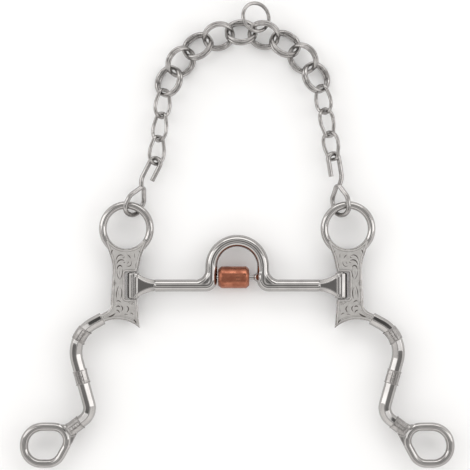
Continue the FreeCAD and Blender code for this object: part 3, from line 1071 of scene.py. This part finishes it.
    def _drilled(self, piece: bpy.types.Object, name: str) -> bpy.types.Object:
        """Bores both barrels for the hinge pins.

        Args:
            piece: The mouthpiece.
            name: The bored piece's name.

        Returns:
            The bored piece.
        """
        drill = CastBody("drill", self.voxel)
        angle = np.linspace(0, math.tau, 64, endpoint=False)
        for side in Side:
            x = side.value * self.hinge + self.bore * np.cos(angle)
            drill.loft([self._put(x, y, self.bore * np.sin(angle))
                        for y in (-self.drill_half, self.drill_half)])
        tool = drill.stock()
        bore = piece.modifiers.new("bore", "BOOLEAN")
        bore.operation = "DIFFERENCE"
        bore.solver = "EXACT"
        bore.object = tool
        bored = settled(piece, name)
        bpy.data.objects.remove(tool)
        return bored


@dataclass
class Roller:
    """Copper roller with chamfered ends and faint turning grooves.

    Attributes:
        profile: Half profile from the middle: distance along and radius.
        bore: Bore's radius.
        sides: Points round it.
    """

    profile: tuple[tuple[float, float], ...] = (
        (0.0, 7.0), (2.2, 7.0), (4.4, 7.0), (6.6, 7.0), (7.5, 6.99), (7.95, 6.9), (8.3, 6.7),
        (9.4, 5.7), (9.75, 5.3), (9.88, 4.9), (9.9, 4.4), (9.9, 3.0), (9.8, 2.1), (9.4, 1.72))
    bore: float = 1.68
    sides: int = 128

    def build(self, dresser: Dresser) -> None:
        """Turns the roller on its own axis.

        Args:
            dresser: Paints and places the piece.
        """
        centre = middle("roller")
        half = list(self.profile)
        line = half + [(0.0, self.bore)] + [(-x, r) for x, r in reversed(half[1:])]
        work = bmesh.new()
        angle = np.linspace(0, math.tau, self.sides, endpoint=False)
        rows = []
        for x, r in line:
            rows.append([work.verts.new(centre + Vector((x, r * math.cos(a), r * math.sin(a))) * MM)
                         for a in angle])
        for k, row in enumerate(rows):
            after = rows[(k + 1) % len(rows)]
            for i in range(self.sides):
                j = (i + 1) % self.sides
                work.faces.new((row[i], row[j], after[j], after[i]))
        bmesh.ops.recalc_face_normals(work, faces=work.faces)
        for face in work.faces:
            face.smooth = True
        mesh = bpy.data.meshes.new("roller_turned")
        work.to_mesh(mesh)
        work.free()
        dresser.fit(new_piece("roller_turned", mesh), "roller", COPPER, "roller")


@dataclass(frozen=True)
class Stroke:
    """One graver's cut on the overlay.

    Attributes:
        points: Two to four shaping points, in millimetres from the hinge axis.
        width: Half its widest place.
    """

    points: tuple[tuple[float, float], ...]
    width: float

    def line(self, count: int = 40) -> tuple[np.ndarray, np.ndarray]:
        """The cut's line and its half width along it.

        Args:
            count: How many points.

        Returns:
            Points, and the half width at each.
        """
        t = np.linspace(0, 1, count)[:, None]
        rows = [np.repeat([p], count, 0).astype(float) for p in self.points]
        while len(rows) > 1:
            rows = [a * (1 - t) + b * t for a, b in zip(rows, rows[1:])]
        taper = np.sin(math.pi * np.clip(t[:, 0] * 0.96 + 0.02, 0, 1)) ** 0.8
        return rows[0], self.width * taper


def fan(centre: tuple[float, float], reach: tuple[float, float], sweep: tuple[float, float],
        count: int, width: float) -> list[Stroke]:
    """Short rays round a point.

    Args:
        centre: Where the rays point to.
        reach: Their inner and outer ends.
        sweep: First and last angle, in degrees.
        count: How many.
        width: Half their width.

    Returns:
        The cuts.
    """
    rays = []
    for angle in np.radians(np.linspace(*sweep, count)):
        way = np.array((math.cos(angle), math.sin(angle)))
        ends = [tuple(np.array(centre) + way * r) for r in reach]
        rays.append(Stroke(tuple(ends), width))
    return rays


def hatch(corner: tuple[float, float], step: tuple[float, float], line: tuple[float, float],
          count: int, width: float) -> list[Stroke]:
    """Even parallel cuts.

    Args:
        corner: Start of the first.
        step: From one to the next.
        line: From each one's start to its end.
        count: How many.
        width: Half their width.

    Returns:
        The cuts.
    """
    cuts = []
    for k in range(count):
        x, y = corner[0] + step[0] * k, corner[1] + step[1] * k
        cuts.append(Stroke(((x, y), (x + line[0], y + line[1])), width))
    return cuts


SCROLLWORK: tuple[Stroke, ...] = (
    # corner leaf and two stacked scrolls with their curls
    Stroke(((-13.9, 19.8), (-13.9, 21.6), (-12.7, 22.9)), 0.50),
    Stroke(((-11.0, 15.2), (-10.6, 19.2), (-8.2, 20.3), (-5.9, 18.9)), 0.42),
    Stroke(((-5.9, 18.9), (-5.2, 17.9), (-6.2, 17.3), (-6.8, 18.0)), 0.26),
    Stroke(((-10.5, 12.9), (-9.9, 16.4), (-7.6, 17.2), (-5.3, 15.6)), 0.46),
    Stroke(((-5.3, 15.6), (-4.8, 14.6), (-5.8, 14.2), (-6.2, 14.9)), 0.26),
    Stroke(((-10.1, 9.6), (-10.3, 13.2), (-7.4, 13.8), (-6.8, 11.2)), 0.50),
    # long leaf loop beside the notch
    Stroke(((-10.0, 10.2), (-10.7, 7.4), (-9.6, 5.2), (-8.3, 3.6)), 0.30),
    Stroke(((-6.9, 11.3), (-6.3, 8.4), (-7.2, 5.8), (-8.3, 3.6)), 0.34),
    Stroke(((-8.4, 9.8), (-8.9, 8.0), (-8.5, 6.2)), 0.20),
    # curls and leaves over the lug
    Stroke(((-4.4, 12.6), (-2.2, 11.4), (-0.4, 13.0), (-1.1, 16.2)), 0.30),
    Stroke(((-3.6, 19.6), (-2.2, 18.8), (-1.5, 17.2)), 0.34),
    Stroke(((0.8, 20.6), (1.2, 19.0), (0.9, 17.4)), 0.26),
    Stroke(((1.9, 14.6), (1.4, 12.6), (2.2, 11.0)), 0.22),
    Stroke(((-3.0, 15.6), (-2.9, 14.2), (-3.9, 13.9)), 0.24),
    Stroke(((3.6, 22.2), (4.6, 21.6), (4.9, 20.2)), 0.30),
    # tall leaf behind the notch and its vein
    Stroke(((-8.9, 0.4), (-10.2, -2.6), (-11.0, -5.6), (-10.4, -8.6)), 0.36),
    Stroke(((-8.2, -0.6), (-6.6, -3.6), (-7.2, -6.8), (-8.1, -9.0)), 0.34),
    Stroke(((-9.0, -2.2), (-9.2, -4.4), (-9.2, -6.8)), 0.16),
    # crescents under the notch
    Stroke(((-10.6, -10.0), (-9.0, -9.0), (-7.6, -10.8)), 0.40),
    Stroke(((-10.8, -13.8), (-9.4, -12.2), (-8.2, -13.8)), 0.42),
    Stroke(((-7.8, -12.8), (-5.8, -14.0), (-7.4, -16.6)), 0.42),
    Stroke(((-4.2, -12.8), (-1.6, -14.6), (-4.2, -17.2)), 0.46),
    Stroke(((-10.9, -15.6), (-9.2, -15.4), (-8.6, -17.4)), 0.40),
    Stroke(((-2.0, -17.6), (-0.6, -17.2), (0.2, -18.8)), 0.34),
    Stroke(((-5.8, -18.6), (-4.6, -17.8), (-3.4, -18.6)), 0.24),
    # points of the lower corners
    Stroke(((-15.6, -19.8), (-13.2, -19.4), (-11.2, -17.6)), 0.55),
    Stroke(((0.4, -21.6), (1.6, -22.6), (2.2, -24.6)), 0.46),
    *fan((-12.9, 1.6), (0.5, 2.5), (-62, 62), 6, 0.20),
    *fan((-1.2, -10.2), (0.6, 2.2), (195, 340), 5, 0.17),
    *fan((-12.3, -11.4), (0.4, 1.5), (-70, 70), 4, 0.15),
    *hatch((-13.0, 15.8), (0.12, -0.62), (1.0, 0.45), 9, 0.10),
    *hatch((-12.6, -2.6), (-0.02, -0.62), (1.0, 0.5), 11, 0.10),
    *hatch((-1.6, -11.0), (0.0, -0.6), (2.6, 0.0), 3, 0.09),
)


@dataclass(frozen=True)
class Beading:
    """One kind of small mark.

    Attributes:
        spacing: From one mark to the next, in millimetres.
        length: A mark's radius, in millimetres.
        shape: Its stretch across, up and along the line.
    """

    spacing: float
    length: float
    shape: tuple[float, float, float]


class BeadTree:
    """Geometry Nodes tree that sets small marks evenly along a line."""

    def __init__(self) -> None:
        """Builds the tree once."""
        self.tree = bpy.data.node_groups.new("set_beads", "GeometryNodeTree")
        bench = NodeBench(self.tree)
        bench.socket("Geometry", "Geometry")
        self.spacing = bench.socket("Spacing", "Float", value=0.9 * MM)
        self.length = bench.socket("Bead Length", "Float", value=0.3 * MM)
        self.shape = bench.socket("Bead Shape", "Vector", value=(1.0, 1.0, 0.6))
        self.seed = bench.socket("Seed", "Int", value=7)
        self.material = bench.socket("Material", "Material")
        bench.socket("Geometry", "Geometry", "OUTPUT")
        face = bench.add("NodeGroupInput")
        stops = bench.add("GeometryNodeCurveToPoints", mode="LENGTH")
        bench.set(stops, "curve", face.outputs["Geometry"])
        bench.set(stops, "length", face.outputs["Spacing"])
        bead = bench.add("GeometryNodeMeshIcoSphere", subdivisions=2)
        bench.set(bead, "radius", face.outputs["Bead Length"])
        vary = bench.add("FunctionNodeRandomValue", data_type="FLOAT", seed=face.outputs["Seed"])
        bench.set(vary, "in2", 0.86)
        bench.set(vary, "in3", 1.08)
        own = bench.add("ShaderNodeVectorMath", operation="SCALE", in0=face.outputs["Bead Shape"])
        bench.set(own, "scale", vary.outputs[1])
        placed = bench.add("GeometryNodeInstanceOnPoints", points=stops.outputs[0],
                           instance=bead.outputs[0], rotation=stops.outputs["Rotation"],
                           scale=own.outputs[0])
        bench.finish_shape(placed.outputs[0], face.outputs["Material"])

    def row(self, name: str, lines: list[np.ndarray], material: bpy.types.Material,
            kind: Beading) -> bpy.types.Object:
        """Sets one row of marks along open lines.

        Args:
            name: The piece's name.
            lines: The lines in the row frame, in metres.
            material: The marks' material.
            kind: Their size, shape and spacing.

        Returns:
            A plain mesh piece.
        """
        host = line_host(name, lines, False)
        host.data.twist_mode = "Z_UP"
        beads = host.modifiers.new("beads", "NODES")
        beads.node_group = self.tree
        beads[self.spacing] = kind.spacing * MM
        beads[self.length] = kind.length * MM
        beads[self.shape] = kind.shape
        beads[self.material] = material
        return settled(host, name)


@dataclass
class Cheek:
    """One cheek: polished plate, ring, shank, and its engraved silver overlay.

    Attributes:
        side: Which side of the bit.
        voxel: Joining grid for the polished metal.
        coarse: Spacing of the overlay's plain points.
        fine: Spacing of its points along a cut.
        depth: Deepest cut.
        border: How far in the border line runs.
        ease: Width of the overlay's eased edge.
        ease_drop: How far the eased edge falls.
        beside: Extra width round a cut that gets fine points.
        border_cut: The border line's half width and depth share.
        second_cut: The same for the second line, after its distance from the first.
        second_below: Where on Y the second line starts, going down.
        milled_inset: How far in the milled marks run.
        milled_sink: How far they are let into the top.
        milling: The milled marks.
        band_turns: Headings of the three shank bands on the left cheek, in degrees.
        band_rim: Distance of a band's rims from its middle.
        panel_gap: From a rim to the end of a band's panel.
        panel_share: The panel's share of the flat that it lies on.
        rim_beads: Marks of the rims and the panels' borders.
        lozenges: Marks down the middle of a panel.
        rounds: Polishing passes over the whole cheek.
        blends: Joints rounded over, each at its x and y from the hinge.
    """

    side: Side
    voxel: float = 0.34
    coarse: float = 0.5
    fine: float = 0.15
    depth: float = 0.20
    border: float = 1.05
    ease: float = 0.3
    ease_drop: float = 0.16
    beside: float = 0.12
    border_cut: tuple[float, float] = (0.16, 0.7)
    second_cut: tuple[float, float, float] = (0.75, 0.13, 0.6)
    second_below: float = -15.5
    milled_inset: float = 0.55
    milled_sink: float = 0.03
    milling: Beading = Beading(0.72, 0.25, (1.2, 0.6, 0.8))
    band_turns: tuple[float, ...] = (-123.0, -74.5, -143.6)
    band_rim: float = 4.1
    panel_gap: float = 0.7
    panel_share: float = 0.8
    rim_beads: Beading = Beading(0.45, 0.24, (1.0, 1.0, 1.2))
    lozenges: Beading = Beading(1.5, 0.75, (0.9, 0.5, 0.5))
    rounds: int = 5
    blends: tuple[tuple[float, float, Blend], ...] = (
        (-41.0, -92.5, Blend(7.0, 30)), (-43.9, -94.7, Blend(4.5, 20)),
        (-51.0, -89.5, Blend(4.0, 15)), (-42.0, -104.0, Blend(4.0, 15)),
        (-17.5, 27.0, Blend(4.0, 15)), (8.8, 27.0, Blend(4.0, 15)),
        (-20.5, -22.5, Blend(5.0, 12)))

    def build(self, dresser: Dresser, beads: BeadTree) -> None:
        """Makes the cheek's pieces.

        Args:
            dresser: Paints and places them.
            beads: Sets the rows of marks.
        """
        word = self.side.word
        self.body = word + "_cheek"
        self.hinge = middle(word + "_hinge_pin")
        self.line_y = mouth_line()
        self._plate(dresser)
        self._overlay(dresser, beads)
        self._bands(dresser, beads)
        dresser.carry_over(word + "_hinge_pin", POLISHED)

    def _world(self, x: float, y: float, z: float = 0.0) -> Vector:
        """A point from the hinge axis, in millimetres, put in the row frame."""
        return Vector((self.hinge.x - self.side.value * x * MM, self.line_y + y * MM,
                       self.hinge.z + z * MM))

    def _plate(self, dresser: Dresser) -> None:
        """Polished metal of the cheek, its joints blended.

        Args:
            dresser: Paints and places the piece.
        """
        body = CastBody(self.body + "_metal", self.voxel)
        body.take(self.body)
        piece = body.pour()
        polish(piece.data, self.rounds)
        for x, y, blend in self.blends:
            blend.wear(piece.data, self._world(x, y))
        dresser.fit(piece, self.body, POLISHED, self.body)

    def _outline(self) -> np.ndarray:
        """The overlay's outline from its CAD node, in millimetres from the hinge.

        Returns:
            Points in order round it.
        """
        copy = merged_copy(self.body + "_overlay")
        top = max(v.co.z for v in copy.verts)
        flat = {f for f in copy.faces if abs(f.calc_center_median().z - top) < 0.001 * MM}
        rim = [e for e in copy.edges if sum(f in flat for f in e.link_faces) == 1]
        after: dict[int, list[int]] = {}
        for edge in rim:
            a, b = (v.index for v in edge.verts)
            after.setdefault(a, []).append(b)
            after.setdefault(b, []).append(a)
        start = next(iter(after))
        loop, last, here = [start], None, start
        while True:
            step = next(n for n in after[here] if n != last)
            if step == start:
                break
            loop.append(step)
            last, here = here, step
        copy.verts.ensure_lookup_table()
        points = np.array([copy.verts[i].co for i in loop])
        self.top, self.under = top, min(v.co.z for v in copy.verts)
        copy.free()
        flat_points = np.c_[-self.side.value * (points[:, 0] - self.hinge.x),
                            points[:, 1] - self.line_y] / MM
        x, y = flat_points.T
        area = x @ np.roll(y, -1) - np.roll(x, -1) @ y
        return flat_points if area > 0 else flat_points[::-1]

    @staticmethod
    def _inset(points: np.ndarray, outline: np.ndarray) -> np.ndarray:
        """How far each point is from the outline's nearest run.

        Args:
            points: Points to measure.
            outline: The closed outline.

        Returns:
            One distance for each point.
        """
        best = np.full(len(points), 1e9)
        for a, b in zip(outline, np.roll(outline, -1, axis=0)):
            run = b - a
            t = np.clip(((points - a) @ run) / max(run @ run, 1e-12), 0, 1)
            best = np.minimum(best, np.linalg.norm(points - a - t[:, None] * run, axis=1))
        return best

    @staticmethod
    def _inside(points: np.ndarray, outline: np.ndarray) -> np.ndarray:
        """Which points lie inside the outline.

        Args:
            points: Points to test.
            outline: The closed outline.

        Returns:
            A truth value for each point.
        """
        within = np.zeros(len(points), bool)
        for (ax, ay), (bx, by) in zip(outline, np.roll(outline, -1, axis=0)):
            spans = (ay > points[:, 1]) != (by > points[:, 1])
            across = (bx - ax) * (points[:, 1] - ay) / (by - ay if by != ay else 1e-12) + ax
            within ^= spans & (points[:, 0] < across)
        return within

    def _cuts(self, points: np.ndarray, inset: np.ndarray, reach: float = 0.0) -> np.ndarray:
        """How deep the engraving is at each point, from 0 to 1.

        Args:
            points: Points on the overlay.
            inset: Their distance from its outline.
            reach: Extra width, to find the points beside a cut.

        Returns:
            One share for each point.
        """
        half, deep = self.border_cut
        depth = np.clip(1 - np.abs(inset - self.border) / (half + reach), 0, 1) * deep
        apart, half, deep = self.second_cut
        second = np.clip(1 - np.abs(inset - self.border - apart) / (half + reach), 0, 1) * deep
        depth = np.maximum(depth, np.where(points[:, 1] < self.second_below, second, 0))
        for stroke in SCROLLWORK:
            line, width = stroke.line()
            box = stroke.width + reach + 0.05
            close = np.all((points > line.min(0) - box) & (points < line.max(0) + box), axis=1)
            if not close.any():
                continue
            gap = np.linalg.norm(points[close][:, None] - line[None], axis=2)
            share = np.clip((width + reach - gap) / np.maximum(width + reach, 1e-6), 0, 1)
            share = share.max(axis=1) ** 0.7 * min(1.0, 0.55 + stroke.width)
            depth[close] = np.maximum(depth[close], share)
        return np.where(inset > self.ease, depth, 0)

    def _overlay(self, dresser: Dresser, beads: BeadTree) -> None:
        """Silver face plate with its scrollwork cut in.

        Args:
            dresser: Paints and places it.
            beads: Sets the milled rows along its edges.
        """
        outline = self._outline()
        low, high = outline.min(0), outline.max(0)
        sets = []
        for step in (self.coarse, self.fine):
            xs, ys = np.meshgrid(np.arange(low[0], high[0], step), np.arange(low[1], high[1], step))
            grid = np.c_[xs.ravel(), ys.ravel()]
            grid = grid[self._inside(grid, outline)]
            inset = self._inset(grid, outline)
            keep = inset > 0.6 * step
            grid, inset = grid[keep], inset[keep]
            close = (self._cuts(grid, inset, self.beside) > 0) | (inset < self.ease + 0.1)
            sets.append(grid[close] if step == self.fine else grid[~close])
        points = np.vstack([outline, *sets])
        edges = [(i, (i + 1) % len(outline)) for i in range(len(outline))]
        found = delaunay_2d_cdt([Vector(p) for p in points], edges, [], 1, 1e-6)
        flat = np.array([tuple(p) for p in found[0]])
        inset = self._inset(flat, outline)
        cut = self._cuts(flat, inset)
        ease = np.clip(1 - inset / self.ease, 0, 1) ** 2 * self.ease_drop
        self._solid(flat, found[2], cut, self.depth * cut + ease, outline, dresser)
        self._milling(outline, dresser, beads)

    def _solid(self, flat: np.ndarray, faces: list, cut: np.ndarray, drop: np.ndarray,
               outline: np.ndarray, dresser: Dresser) -> None:
        """Closes the engraved face into a thin solid.

        Args:
            flat: The face's points.
            faces: Its triangles.
            cut: Each point's share of a cut.
            drop: How far each point lies under the top.
            outline: The closed outline; not used.
            dresser: Paints and places it.
        """
        work = bmesh.new()
        layer = work.verts.layers.float.new(CUT)
        top = []
        for (x, y), share, down in zip(flat, cut, drop):
            spot = self._world(x, y)
            vert = work.verts.new((spot.x, spot.y, self.top - down * MM))
            vert[layer] = share
            top.append(vert)
        for face in faces:
            work.faces.new([top[i] for i in face])
        for face in work.faces:
            face.smooth = True
        rim = [e for e in work.edges if e.is_boundary]
        made = bmesh.ops.extrude_edge_only(work, edges=rim)["geom"]
        for item in made:
            if isinstance(item, bmesh.types.BMVert):
                item.co.z = self.under
                item[layer] = 0.0
        bmesh.ops.holes_fill(work, edges=[e for e in work.edges if e.is_boundary])
        bmesh.ops.triangulate(work, faces=[f for f in work.faces if len(f.verts) > 4])
        bmesh.ops.recalc_face_normals(work, faces=work.faces)
        mesh = bpy.data.meshes.new(self.body + "_engraved_overlay")
        work.to_mesh(mesh)
        work.free()
        piece = new_piece(mesh.name, mesh)
        dresser.fit(piece, self.body, SILVER, self.body + "_overlay")

    def _milling(self, outline: np.ndarray, dresser: Dresser, beads: BeadTree) -> None:
        """Fine milled marks along the overlay's outer edge and under the ring.

        Args:
            outline: The closed outline.
            dresser: Paints and places them.
            beads: Sets the rows.
        """
        inner = self._offset(outline, self.milled_inset)
        keep = (inner[:, 1] > -19.0) & ((inner[:, 0] < -9.0) | (inner[:, 1] > 20.0))
        runs: list[list[np.ndarray]] = [[]]
        shift = int(np.argmin(keep))
        for point, good in zip(np.roll(inner, -shift, axis=0), np.roll(keep, -shift)):
            if good:
                spot = self._world(*point).xy
                runs[-1].append(np.array((*spot, self.top - self.milled_sink * MM)))
            else:
                runs.append([])
        lines = [np.array(run) for run in runs if len(run) > 2]
        piece = beads.row(self.body + "_milled_edge", lines, dresser.materials[SILVER],
                          self.milling)
        dresser.fit(piece, self.body, SILVER)

    @staticmethod
    def _offset(outline: np.ndarray, inset: float) -> np.ndarray:
        """The outline moved inward.

        Args:
            outline: Closed, in order against the clock.
            inset: How far, in millimetres.

        Returns:
            The moved points.
        """
        way = np.roll(outline, -1, axis=0) - np.roll(outline, 1, axis=0)
        way /= np.linalg.norm(way, axis=1)[:, None].clip(1e-9)
        return outline + np.c_[-way[:, 1], way[:, 0]] * inset

    def _bands(self, dresser: Dresser, beads: BeadTree) -> None:
        """Rims, bordered panels and lozenges on the three bands round the shank.

        Args:
            dresser: Paints and places them.
            beads: Sets the rows.
        """
        rims, stones, inset = [], [], self.band_rim - self.panel_gap
        for number, turn in enumerate(self.band_turns, start=1):
            node = "%s_shank_band_%d" % (self.side.word, number)
            dresser.carry_over(node, BAND)
            low, high = (np.array(corner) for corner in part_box(node))
            centre = (low + high) / 2
            heading = math.radians(turn)
            along = np.array((-self.side.value * math.cos(heading), math.sin(heading), 0.0))
            across = np.cross((0, 0, 1), along)
            flat = (high[2] - low[2]) / 2
            loop = np.array([centre + flat / math.cos(math.pi / 8) * (
                across * math.cos(angle) + np.array((0, 0, math.sin(angle))))
                for angle in np.radians(22.5 + 45 * np.arange(9))])
            rims += [loop + along * s * self.band_rim * MM for s in (-1, 1)]
            top = centre + np.array((0, 0, flat))
            ends = [top + along * s * inset * MM for s in (-1, 1)]
            edge = across * flat * math.tan(math.pi / 8) * self.panel_share
            rims += [np.array([end + way * edge for end in ends]) for way in (-1, 1)]
            stones.append(np.array(ends))
        for name, lines, kind in (("_band_rims", rims, self.rim_beads),
                                  ("_band_lozenges", stones, self.lozenges)):
            piece = beads.row(self.body + name, lines, dresser.materials[BAND], kind)
            dresser.fit(piece, self.body, BAND)


@dataclass
class Studio:
    """Pale floor, soft light and the camera straight over the bit.

    Attributes:
        frame_width: Width that the camera takes in at the bit's height.
        aside: Camera's place on X from the middle of the bit.
        height: Camera's height over the floor, in metres.
        floor_half: Half the floor's width, in metres.
    """

    frame_width: float = 299.4
    aside: float = -1.4
    height: float = 1.2
    floor_half: float = 3.0

    def build(self) -> None:
        """Makes the floor, lights and camera."""
        bpy.context.scene.view_settings.view_transform = "Standard"
        self._floor()
        self._world()
        self._lamps()
        self._camera()

    def _floor(self) -> None:
        """A plain pale floor."""
        half = self.floor_half
        mesh = bpy.data.meshes.new("floor")
        corners = [(-half, -half, 0), (half, -half, 0), (half, half, 0), (-half, half, 0)]
        mesh.from_pydata(corners, [], [(0, 1, 2, 3)])
        floor = new_piece("floor", mesh)
        paper = bpy.data.materials.new("pale_paper")
        paper.use_nodes = True
        shader = paper.node_tree.nodes["Principled BSDF"]
        shader.inputs["Base Color"].default_value = (0.94, 0.94, 0.94, 1.0)
        shader.inputs["Roughness"].default_value = 0.9
        shader.inputs["Specular IOR Level"].default_value = 0.1
        mesh.materials.append(paper)
        floor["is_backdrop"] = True

    def _world(self) -> None:
        """Soft studio surroundings: bright walls, a darker ceiling over the middle."""
        world = bpy.data.worlds.new("studio")
        bpy.context.scene.world = world
        world.use_nodes = True
        world.node_tree.nodes.clear()
        bench = NodeBench(world.node_tree)
        way = bench.add("ShaderNodeTexCoord").outputs["Generated"]
        parts = bench.add("ShaderNodeSeparateXYZ", vector=way)
        ramp = bench.add("ShaderNodeValToRGB", fac=parts.outputs["Z"])
        stops = ((0.0, 0.80), (0.12, 0.90), (0.30, 1.30), (0.55, 1.45), (0.72, 0.60),
                 (0.84, 0.10), (0.93, 1.20), (0.98, 0.62), (1.0, 0.20))
        bands = ramp.color_ramp
        while len(bands.elements) < len(stops):
            bands.elements.new(0.5)
        for element, (place, light) in zip(bands.elements, stops):
            element.position = place
            element.color = (light, light * 0.985, light * 0.97, 1.0)
        sky = bench.add("ShaderNodeBackground", color=ramp.outputs[0], strength=1.0)
        out = bench.add("ShaderNodeOutputWorld")
        bench.set(out, "surface", sky.outputs[0])

    def _lamps(self) -> None:
        """Three long soft boxes."""
        for name, spot, size, power in (("left_box", (-0.9, 0.3, 0.9), (0.5, 1.4), 3.0),
                                        ("right_box", (0.9, 0.1, 0.8), (0.4, 1.2), 2.0),
                                        ("back_box", (0.1, 1.1, 0.8), (1.5, 0.4), 2.7)):
            lamp = bpy.data.lights.new(name, "AREA")
            lamp.shape = "RECTANGLE"
            lamp.size, lamp.size_y = size
            lamp.energy = power
            place = bpy.data.objects.new(name, lamp)
            place.location = spot
            place.rotation_euler = (-Vector(spot)).to_track_quat("-Z", "Y").to_euler()
            bpy.context.scene.collection.objects.link(place)

    def _camera(self) -> None:
        """A long lens straight down, up the page along +Y."""
        low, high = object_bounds()
        middle_height = (low.z + high.z) / 2
        lens = bpy.data.cameras.new("camera")
        lens.sensor_width = 36.0
        lens.lens = 36.0 * (self.height - middle_height) / (self.frame_width * MM)
        lens.clip_start, lens.clip_end = 0.01, 20.0
        camera = bpy.data.objects.new("camera", lens)
        centre = (low + high) / 2
        camera.location = (centre.x + self.aside * MM, centre.y, self.height)
        bpy.context.scene.collection.objects.link(camera)
        bpy.context.scene.camera = camera


def clear_defaults() -> None:
    """Removes whatever was in the scene before the frame."""
    kept = {*frame["nodes"].values(), *frame["bodies"].values()}
    for item in list(bpy.data.objects):
        if item not in kept:
            bpy.data.objects.remove(item)


def main() -> None:
    """Builds every piece, then the studio."""
    logging.basicConfig(level=logging.INFO, format="%(name)s %(message)s")
    clear_defaults()
    bpy.context.view_layer.update()
    Studio().build()
    dresser = Dresser()
    beads = BeadTree()
    CurbChain().build(dresser)
    Mouthpiece().build(dresser)
    Roller().build(dresser)
    for side in Side:
        Cheek(side).build(dresser, beads)
    bpy.context.view_layer.update()


if __name__ == "__main__":
    main()
